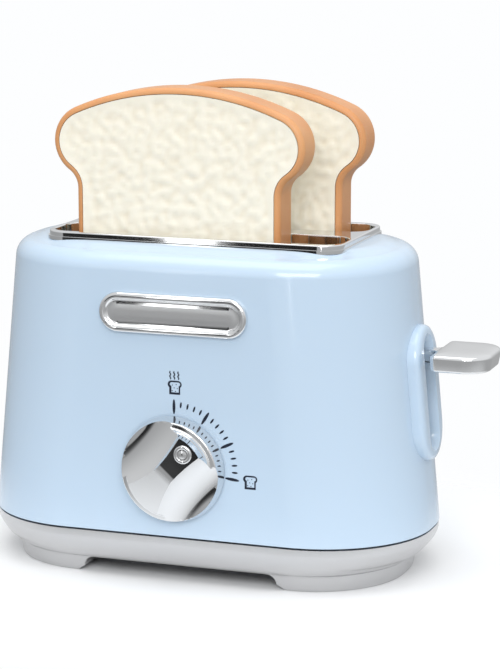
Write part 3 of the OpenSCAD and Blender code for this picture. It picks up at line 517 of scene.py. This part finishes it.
def pen(x, y):
    """One vertex at a place in mm, in edit mode, from which run() and arc() draw a line."""
    bpy.ops.object.select_all(action="DESELECT")
    bpy.ops.mesh.primitive_plane_add(size=1)
    line = bpy.context.object
    shape(line)
    bpy.ops.mesh.select_mode(type="VERT")
    bpy.ops.mesh.select_all(action="SELECT")
    bpy.ops.mesh.merge(type="CENTER")
    bpy.ops.transform.translate(value=(x, y, 0))
    return line


def run(x, y):
    """Draws on by a straight stretch."""
    bpy.ops.mesh.extrude_region_move(TRANSFORM_OT_translate={"value": (x, y, 0)})


def arc(x, y, angle, steps):
    """Draws on round a centre by an angle in degrees, counter-clockwise when it is positive."""
    bpy.ops.mesh.spin(steps=steps, angle=-math.radians(angle), center=(x, y, 0), axis=(0, 0, 1))


def joined(pieces):
    """Joins pieces into the first of them."""
    bpy.ops.object.select_all(action="DESELECT")
    for piece in pieces:
        piece.select_set(True)
    bpy.context.view_layer.objects.active = pieces[0]
    bpy.ops.object.join()
    return pieces[0]


def wire_of(line, radius, rings=3):
    """Turns a drawn line into round wire."""
    bpy.ops.object.select_all(action="DESELECT")
    line.select_set(True)
    bpy.context.view_layer.objects.active = line
    bpy.ops.object.convert(target="CURVE")
    line.data.bevel_depth, line.data.bevel_resolution, line.data.use_fill_caps = radius, rings, True
    bpy.ops.object.convert(target="MESH")
    return bpy.context.object


for side in (-1.5, 0.1, 1.7):
    wave = pen(side, 34.1)
    for k in range(4):
        lean = 1 if k % 2 else -1
        arc(side + lean * 0.25, 34.5 + k * 0.7, -lean * 115, 6)
    shaped()
    wave = wire_of(wave, 0.24, 1)
    wave.data.transform(Matrix.Diagonal((1, 1, 0.06, 1)))
    ink_pieces.append(wave)
scale_print = printed("dial_scale_print", joined(ink_pieces))

ink, tree, shader = finish_of("pad_printing_ink_dark_blue", **{
    "Base Color": linear("131C2E"), "Roughness": 0.35})
coat(scale_print, ink)
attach(scale_print, "case")

# Plate over the dial. Chrome-plated ABS with a rounded rim round a shallow dish, left bare,
# pegged through the housing's front.
plate = lozenge("bare_plate", 58, 15, 0, 1.0, 28)
shape(plate)
pick(plate, "FACE", facing((0, 0, 1)))
step_faces((0.12, 0.42), (0.3, 0.4), (0.45, 0.22), (0.6, 0.06), (0.55, -0.08), (0.45, -0.3),
           (0.3, -0.42), (0.3, -0.2), (0.5, -0.05))
step_faces((1.0, 0.12), (1.1, 0.08), (0.9, 0.02))
shaped()
cut(plate, lozenge("spigot", 54.7, 11.7, -0.6, 0.4), "UNION")
set_on(plate, wall_frame("front", plate_z))
smooth(plate, 60)

satin_chrome, tree, shader = finish_of("satin_chrome_plated_abs", **{
    "Base Color": linear("DCDDDE"), "Metallic": 1.0, "Roughness": 0.3})
grained(tree, shader, 1800, 2, 0.06, 0.0001)  # blasted mould
chrome, tree, shader = finish_of("chrome_plated_abs", **{
    "Base Color": linear("E3E4E5"), "Metallic": 1.0, "Roughness": 0.055})
grained(tree, shader, 60, 1, 0.1, 0.0004)  # faint sinks under the chrome
coat(plate, chrome)
plate.data.materials.append(satin_chrome)
shape(plate)
inwards = wall_frame("front", plate_z).inverted()
pick(plate, "FACE", lambda face: face.normal.dot(Vector((0, -1, 0))) > 0.98
     and all(abs((inwards @ v.co).y) < 3.9 * mm for v in face.verts))
plate.active_material_index = 1
bpy.ops.object.material_slot_assign()
shaped()
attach(plate, "case")
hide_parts("badge_plate")

# Slot trim. One chrome-plated frame that lies on the crowned top; a thin collar hangs down
# inside each slot and guides the toast.
trim = round_block("slot_trim_chrome", at(-58.6, -30, 125.4), at(58.6, 30, 128.6), 8.5 * mm, 14)
cut(trim, round_block("flange", at(-59.2, -30.6, 125.3), at(59.2, 30.6, 126.6), 9.1 * mm, 14), "UNION")
for side in (-1, 1):
    y = side * slot_y
    cut(trim, round_block("slot", at(-57.1, y - 10.5, 120), at(57.1, y + 10.5, 135), 7 * mm, 14))
shape(trim)
pick(trim, "EDGE", lambda edge: rim_of((0, 0, 1))(edge) and edge.verts[0].co.z > at(0, 0, 128).z)
bpy.ops.mesh.bevel(offset=0.55 * mm, segments=4, affect="EDGES")
shaped()
collars = []
for side in (-1, 1):
    y = side * slot_y
    collar = round_block("collar", at(-58.3, y - 11.7, 114), at(58.3, y + 11.7, 126), 8.2 * mm, 14)
    cut(collar, round_block("slot", at(-57.11, y - 10.51, 110), at(57.11, y + 10.51, 135), 7 * mm, 14))
    collars.append(collar)
joined([trim] + collars)
smooth(trim, 50)
coat(trim, chrome)
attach(trim, "case")
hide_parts("slot_trim")

# Lever bezel. A separate blue ring, moulded like the housing, with a rounded back and flared
# inner walls; its spigot passes through the wall round the slot the lever moves in.
bezel = lozenge("blue_bezel", 27, 51.5, -3, 1.2, 28)
shape(bezel)
pick(bezel, "FACE", facing((0, 0, 1)))
step_faces((0.15, 0.75), (0.4, 0.7), (0.75, 0.5), (1.1, 0.28), (1.5, 0.07))
shaped()
set_on(bezel, wall_frame("right", slot_middle))
cut(bezel, outer_form)
spigot = lozenge("spigot", 12.2, 43.5, -3.5, 1, 20)
set_on(spigot, wall_frame("right", slot_middle))
cut(bezel, spigot, "UNION")
mouth = lozenge("mouth", 13.4, 44.9, 3.6, 6, 20)
shape(mouth)
pick(mouth, "FACE", facing((0, 0, -1)))
step_faces((0.5, 0.5), (0.5, 0.65), (0.55, 1.0), (0.5, 1.6), (0.1, 6))
shaped()
set_on(mouth, wall_frame("right", slot_middle))
cut(bezel, mouth)
soften(bezel, 0.3 * mm, 50, 2)
coat(bezel, gloss_blue)
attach(bezel, "case")
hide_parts("lever_bezel")

# Dial. A chrome-plated knob: a disc with a bevelled lip, scooped out on both sides of a waisted
# bar that stands proud; a plain round boss marks the pointer's end. It turns on a steel shaft.
knob_gap = 0.6
knob_place = at(0, front_draw * (dial_z - foot_z) / wall_h - half_d - knob_gap, dial_z)
bpy.ops.object.select_all(action="DESELECT")
knob_r, face_r, disc_h, bar_top = 20.2, 18.9, 4.2, 9.6
bpy.ops.mesh.primitive_cylinder_add(vertices=160, radius=knob_r * mm, depth=disc_h * mm,
                                    location=(0, 0, disc_h / 2 * mm))
knob = bpy.context.object
bpy.ops.object.transform_apply(location=True, rotation=True, scale=True)
shape(knob)
pick(knob, "FACE", facing((0, 0, 1)))
bpy.ops.transform.resize(value=(face_r / knob_r, face_r / knob_r, 1))
step_faces((0.12, 0.4), (0.2, 0.25), (0.28, 0.13), (1.0, 0.02), (0.35, 0.1), (0.35, 0.4), (0.4, 0.9),
           (0.6, 3.2))
shaped()
scoop_r, floor_h, half_l, waist, end_w = 16.0, 3.5, 16.9, 7.4, 11.0
swell = (end_w - waist) / 2
waist_r = (half_l ** 2 + swell ** 2) / (2 * swell)
scoop_side = math.sqrt(scoop_r ** 2 - (floor_h + scoop_r - bar_top) ** 2)
for side in (-1, 1):
    bpy.ops.object.select_all(action="DESELECT")
    scoop_place = Vector((side * (waist / 2 + waist_r), 0, floor_h + scoop_r)) * mm
    bpy.ops.mesh.primitive_torus_add(major_segments=360, minor_segments=144, minor_radius=scoop_r * mm,
                                     major_radius=(waist_r - scoop_side) * mm, location=scoop_place)
    cut(knob, bpy.context.object)
tail = block("tail", Vector((-25, -60, 0)) * mm, Vector((25, 0, 20)) * mm)
tail_drop = 3.2
tail.data.transform(Matrix.Translation((0, 0, bar_top * mm))
                    @ Matrix.Rotation(math.atan(tail_drop / half_l), 4, "X"))
cut(knob, tail)
soften(knob, 0.3 * mm, 28, 3)
bpy.ops.object.select_all(action="DESELECT")
bpy.ops.mesh.primitive_cylinder_add(vertices=64, radius=3.4 * mm, depth=1 * mm,
                                    location=(0, 11.2 * mm, 9.5 * mm))
boss = bpy.context.object
bpy.ops.object.transform_apply(location=True, rotation=True, scale=True)
shape(boss)
pick(boss, "FACE", facing((0, 0, 1)))
step_faces((0.15, 0.12), (0.3, 0.1), (0.4, 0.0), (0.3, -0.15), (0.3, -0.1), (0.6, 0.2), (0.6, 0.12),
           (0.5, 0.05))
shaped()
smooth(boss, 60)
joined([knob, boss])
knob.name = knob.data.name = "dial_knob_chrome"
pointer_angle = 42
knob.data.transform(Matrix.Translation(knob_place) @ Matrix.Rotation(math.pi / 2, 4, "X")
                    @ Matrix.Rotation(-math.radians(pointer_angle), 4, "Z"))
coat(knob, chrome)
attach(knob, "dial")
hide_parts("dial_knob")

# Lever. A chrome-plated paddle with a crowned top, rounded outside corners and a narrow neck
# that covers the steel arm.
paddle = block("lever_paddle_chrome", at(88.8, -15.5, 81.1), at(110.65, 15.5, 87.4))
shape(paddle)
pick(paddle, "FACE", facing((0, 0, -1)))
bpy.ops.transform.resize(value=(0.97, 0.955, 1), center_override=at(88.8, 0, 0))
pick(paddle, "EDGE", lambda edge: upright(edge) and edge.verts[0].co.x > at(100, 0, 0).x)
bpy.ops.mesh.bevel(offset=9.5 * mm, segments=20, affect="EDGES")
pick(paddle, "EDGE", lambda edge: upright(edge) and edge.verts[0].co.x < at(90, 0, 0).x)
bpy.ops.mesh.bevel(offset=2.4 * mm, segments=8, affect="EDGES")
pick(paddle, "FACE", facing((0, 0, -1)))
bpy.ops.transform.translate(value=(0, 0, 1.0 * mm))
step_faces((0.12, 0.4), (0.25, 0.32), (0.4, 0.2), (0.5, 0.08))
pick(paddle, "FACE", facing((0, 0, 1)))
bpy.ops.transform.translate(value=(0, 0, -1.42 * mm))
step_faces((0.08, 0.55), (0.2, 0.45), (0.35, 0.35), (0.5, 0.25), (0.7, 0.15))
for share, rise in ((0.9, 0.14), (0.85, 0.1), (0.75, 0.06), (0.6, 0.02)):
    bpy.ops.mesh.extrude_region_move(TRANSFORM_OT_translate={"value": (0, 0, rise * mm)})
    bpy.ops.transform.resize(value=(share, share, 1))
shaped()
neck = block("neck", at(78.5, -3.5, 81.95), at(85.8, 3.5, 87.1))
shape(neck)
pick(neck, "EDGE", lambda edge: abs((edge.verts[0].co - edge.verts[1].co).x) > 0.005)
bpy.ops.mesh.bevel(offset=1.6 * mm, segments=5, affect="EDGES")
pick(neck, "FACE", facing((1, 0, 0)))
width = 3.5
for run_on, next_width in ((1.5, 3.9), (0.9, 4.7), (0.5, 5.7), (0.6, 6.4)):
    bpy.ops.mesh.extrude_region_move(TRANSFORM_OT_translate={"value": (run_on * mm, 0, 0)})
    bpy.ops.transform.resize(value=(1, next_width / width, 1), center_override=at(0, 0, 84.6))
    width = next_width
shaped()
cut(paddle, neck, "UNION")
smooth(paddle, 50)
coat(paddle, chrome)
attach(paddle, "carriage")
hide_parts("lever_handle")

# Springs. One helical steel wire round each guide rod, with a closed turn at both ends, between the
# socket on the bottom plate and the carriage's hub.


def turns(count, low, high):
    """A helix of whole turns round the Z axis, as a line."""
    line = pen(4 * mm, 0)
    bpy.ops.transform.translate(value=(0, 0, low * mm))
    shaped()
    coil = line.modifiers.new("coil", "SCREW")
    coil.angle, coil.screw_offset = count * math.tau, (high - low) * mm
    coil.steps = coil.render_steps = 28 * count
    apply(line)
    return line


spring_steel, tree, shader = finish_of("zinc_plated_spring_steel", **{
    "Base Color": linear("B9BCC0"), "Metallic": 1.0, "Roughness": 0.3})
place = add(tree, "ShaderNodeTexCoord")
drawn = add(tree, "ShaderNodeTexNoise", {"Scale": 900, "Detail": 2}, {"Vector": place.outputs["Object"]})
worn = add(tree, "ShaderNodeMapRange", {"To Min": 0.22, "To Max": 0.4}, {"Value": drawn.outputs[0]})
tree.links.new(worn.outputs[0], shader.inputs["Roughness"])
for side, name in ((-1, "left"), (1, "right")):
    ends = [turns(1, 22.8, 23.9), turns(9, 23.9, 71.9), turns(1, 71.9, 73.0)]
    shape(joined(ends))
    bpy.ops.mesh.select_all(action="SELECT")
    bpy.ops.mesh.remove_doubles(threshold=0.05 * mm)
    shaped()
    spring = wire_of(ends[0], 0.5 * mm)
    shape(spring)
    bpy.ops.mesh.select_all(action="SELECT")
    bpy.ops.mesh.remove_doubles(threshold=0.002 * mm)
    bpy.ops.mesh.fill_holes(sides=0)
    bpy.ops.mesh.normals_make_consistent(inside=False)
    shaped()
    spring.name = spring.data.name = "spring_wire_" + name
    spring.data.transform(Matrix.Translation(at(side * rod_x, 0, 0)))
    smooth(spring, 60)
    coat(spring, spring_steel)
    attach(spring, "case")
    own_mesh(spring)
    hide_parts("return_spring_" + name)

# Crusts. Each slice has a soft-edged orange-brown ring, moulded in PVC, with a ledge for a panel on
# both sides; it stands in a tray of the carriage and lifts out.


def slice_form(name, inset, low, high):
    """Solid with the outline of a slice, drawn in by an inset, between two depths, all in mm."""
    lobe_x, lobe_y, lobe_r, neck_x, neck_r, foot_r, top = 36.1, 78.8, 13.7, 40.5, 8, 6, 100
    dome_r = (lobe_x ** 2 + (top - lobe_y) ** 2 - lobe_r ** 2) / (2 * (top - lobe_y - lobe_r))
    neck_drop = math.sqrt((lobe_r + neck_r) ** 2 - (neck_x + neck_r - lobe_x) ** 2)
    neck_turn = math.degrees(math.atan2(neck_drop, neck_x + neck_r - lobe_x))
    lobe_turn = math.degrees(math.atan2(lobe_y - top + dome_r, lobe_x))
    piece = pen(0, inset)
    run(neck_x - foot_r, 0)
    arc(neck_x - foot_r, foot_r, 90, 8)
    run(0, lobe_y - neck_drop - foot_r)
    arc(neck_x + neck_r, lobe_y - neck_drop, -neck_turn, 10)
    arc(lobe_x, lobe_y, neck_turn + lobe_turn, 26)
    arc(0, top - dome_r, 90 - lobe_turn, 24)
    bpy.ops.mesh.select_all(action="SELECT")
    bpy.ops.mesh.duplicate()
    bpy.ops.transform.resize(value=(-1, 1, 1), center_override=(0, 0, 0))
    bpy.ops.mesh.select_all(action="SELECT")
    bpy.ops.mesh.remove_doubles(threshold=0.01)
    bpy.ops.mesh.edge_face_add()
    bpy.ops.transform.translate(value=(0, 0, low))
    bpy.ops.mesh.extrude_region_move(TRANSFORM_OT_translate={"value": (0, 0, high - low)})
    bpy.ops.mesh.select_all(action="SELECT")
    bpy.ops.mesh.normals_make_consistent(inside=False)
    shaped()
    piece.data.transform(Matrix.Scale(mm, 4))
    piece.name = piece.data.name = name
    return piece


tray_z = 83.5


def slice_place(side):
    """Frame of a slice: X to the right, Y up and Z towards the front."""
    return Matrix.Translation(at(side * 6.6, side * slot_y, tray_z)) @ Matrix.Rotation(math.pi / 2, 4, "X")


crust_pvc, tree, shader = finish_of("soft_pvc_toasted_crust", **{
    "Base Color": linear("D39762"), "Roughness": 0.42, "Subsurface Weight": 0.12, "Subsurface Scale": 0.003,
    "Subsurface Radius": (1.0, 0.5, 0.3)})
place = add(tree, "ShaderNodeTexCoord")
clouds = add(tree, "ShaderNodeTexNoise", {"Scale": 35, "Detail": 2}, {"Vector": place.outputs["Object"]})
baked = add(tree, "ShaderNodeValToRGB", feeds={"Fac": clouds.outputs[0]})
baked.color_ramp.elements[0].position, baked.color_ramp.elements[0].color = 0.3, linear("CC8C56")
baked.color_ramp.elements[1].position, baked.color_ramp.elements[1].color = 0.7, linear("D99F6C")
tree.links.new(baked.outputs[0], shader.inputs["Base Color"])
for side, name in ((-1, "front"), (1, "rear")):
    crust = slice_form(name + "_crust_ring", 0, -7.25, 7.25)
    shape(crust)
    pick(crust, "EDGE", lambda edge: rim_of((0, 0, 1))(edge) or rim_of((0, 0, -1))(edge))
    bpy.ops.mesh.bevel(offset=2 * mm, segments=6, affect="EDGES")
    shaped()
    cut(crust, slice_form("hole", 4.2, -9, 9))
    cut(crust, slice_form("recess", 2.25, 5.65, 9))
    cut(crust, slice_form("recess", 2.25, -9, -5.65))
    crust.data.transform(slice_place(side))
    smooth(crust, 50)
    coat(crust, crust_pvc)
    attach(crust, name + "_slice")
    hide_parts(name + "_slice_crust")

# Crumb. Each side of a slice has a cream PVC panel with soft dimples, pressed into the crust's
# recess; the floor of a dimple is painted a little darker and browner, as painted shade.


def crumb_panel(name, seed):
    """A panel with its back at Z 0 and its dimpled front at 1.6 mm."""
    panel = block(name, Vector((-50, -1, -2)) * mm, Vector((50, 101, 1.6)) * mm)
    shape(panel)
    pick(panel, "FACE", facing((0, 0, 1)))
    bpy.ops.mesh.subdivide(number_cuts=110)
    shaped()
    cut(panel, slice_form("outline", 2.5, 0, 3), "INTERSECT")
    shape(panel)
    pick(panel, "EDGE", rim_of((0, 0, 1)))
    rim = [v.co.copy() for v in bmesh.from_edit_mesh(panel.data).verts if v.select]
    shaped()
    border = KDTree(len(rim))
    for i, co in enumerate(rim):
        border.insert(co, i)
    border.balance()
    soft = panel.vertex_groups.new(name="soft")
    for v in panel.data.vertices:
        if v.co.z > 1.5 * mm:
            soft.add([v.index], min(1, max(0, (border.find(v.co)[2] - 0.4 * mm) / (2.5 * mm))), "REPLACE")
    for scale, depth in ((3.0, 0.75), (1.7, 0.3)):
        dimples = bpy.data.textures.new(name + "_dimples", "CLOUDS")
        dimples.noise_scale, dimples.noise_depth = scale * mm, 0
        press = panel.modifiers.new("press", "DISPLACE")
        press.texture, press.vertex_group, press.direction = dimples, soft.name, "Z"
        press.strength, press.mid_level = depth * mm, 0.78
    panel.data.transform(Matrix.Translation((0, 0, seed * 37 * mm)))
    apply(panel)
    panel.data.transform(Matrix.Translation((0, 0, -seed * 37 * mm)))
    # How far each point is sunk into a dimple, kept to drive the painted shade in the crumb's colour.
    dip = panel.data.attributes.new("dip", "FLOAT", "POINT")
    for v in panel.data.vertices:
        sunk = (1.45 * mm - v.co.z) / (0.7 * mm)
        dip.data[v.index].value = min(1, max(0, sunk)) if v.co.z > 0.4 * mm else 0
    panel.vertex_groups.clear()
    return panel


crumb_pvc, tree, shader = finish_of("soft_pvc_cream_crumb", **{
    "Base Color": linear("F2EDDD"), "Roughness": 0.45, "Subsurface Weight": 0.06, "Subsurface Scale": 0.002,
    "Subsurface Radius": (1.0, 0.8, 0.5)})
# Painted shade: the colour turns darker and browner the deeper a point lies in a dimple.
depth = add(tree, "ShaderNodeAttribute", attribute_name="dip")
dimple_shade = add(tree, "ShaderNodeValToRGB", feeds={"Fac": depth.outputs["Fac"]})
dimple_shade.color_ramp.elements[0].position, dimple_shade.color_ramp.elements[0].color = 0.1, linear("F3EEDE")
dimple_shade.color_ramp.elements[1].position, dimple_shade.color_ramp.elements[1].color = 1.0, linear("EBE1CB")
tree.links.new(dimple_shade.outputs[0], shader.inputs["Base Color"])
grained(tree, shader, 700, 2, 0.1, 0.0002)
seed = 0
for side, name in ((-1, "front"), (1, "rear")):
    for face, turn in (("near", 0), ("far", math.pi)):
        seed += 1
        panel = crumb_panel(name + "_" + face + "_crumb", seed)
        panel.data.transform(slice_place(side) @ Matrix.Rotation(turn, 4, "Y")
                             @ Matrix.Translation((0, 0, 5.65 * mm)))
        smooth(panel, 60)
        coat(panel, crumb_pvc)
        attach(panel, name + "_slice")
        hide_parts(name + "_slice_" + face + "_face")

# Inner mouldings. The bottom plate, guards, carriage, stop rings and dial bush are plain dark ABS
# with a fine spark-eroded surface, snapped or screwed in.
dark_abs, tree, shader = finish_of("moulded_abs_dark_grey", **{
    "Base Color": linear("3F444B"), "Roughness": 0.5})
grained(tree, shader, 1400, 3, 0.15, 0.0001)  # spark-eroded mould
for name in ("bottom_plate", "front_guard", "centre_guard", "rear_guard", "carriage", "stop_rings",
             "dial_bush"):
    coat(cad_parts[name], dark_abs)

# Click wheel and release cam. Two pieces of white acetal that slide onto the dial's shaft, one
# behind the other, and are turned by its flat.
acetal, tree, shader = finish_of("natural_acetal", **{
    "Base Color": linear("E4E2DA"), "Roughness": 0.38, "Subsurface Weight": 0.1, "Subsurface Scale": 0.002})
grained(tree, shader, 120, 1, 0.1, 0.0001)
for name in ("click_wheel", "release_cam"):
    coat(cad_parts[name], acetal)

# Steel. Turned rods and shaft, pressed arm, striker and clip, and the screws, all zinc plated;
# the two leaf springs are of the same wire-drawn steel as the coils.
zinc_steel, tree, shader = finish_of("zinc_plated_steel", **{
    "Base Color": linear("AEB3B8"), "Metallic": 1.0, "Roughness": 0.28})
place = add(tree, "ShaderNodeTexCoord")
rolled = add(tree, "ShaderNodeMapping", {"Scale": (60, 900, 900)}, {"Vector": place.outputs["Object"]})
grain = add(tree, "ShaderNodeTexNoise", {"Scale": 1, "Detail": 2}, {"Vector": rolled.outputs[0]})
bump = add(tree, "ShaderNodeBump", {"Strength": 0.08, "Distance": 0.0001}, {"Height": grain.outputs[0]})
tree.links.new(bump.outputs[0], shader.inputs["Normal"])
for name in ("housing_screws", "guide_rods", "striker", "lever_arm", "lever_screws", "dial_shaft",
             "shaft_clip"):
    coat(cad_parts[name], zinc_steel)
for name in ("catch_spring", "click_spring"):
    coat(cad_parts[name], spring_steel)
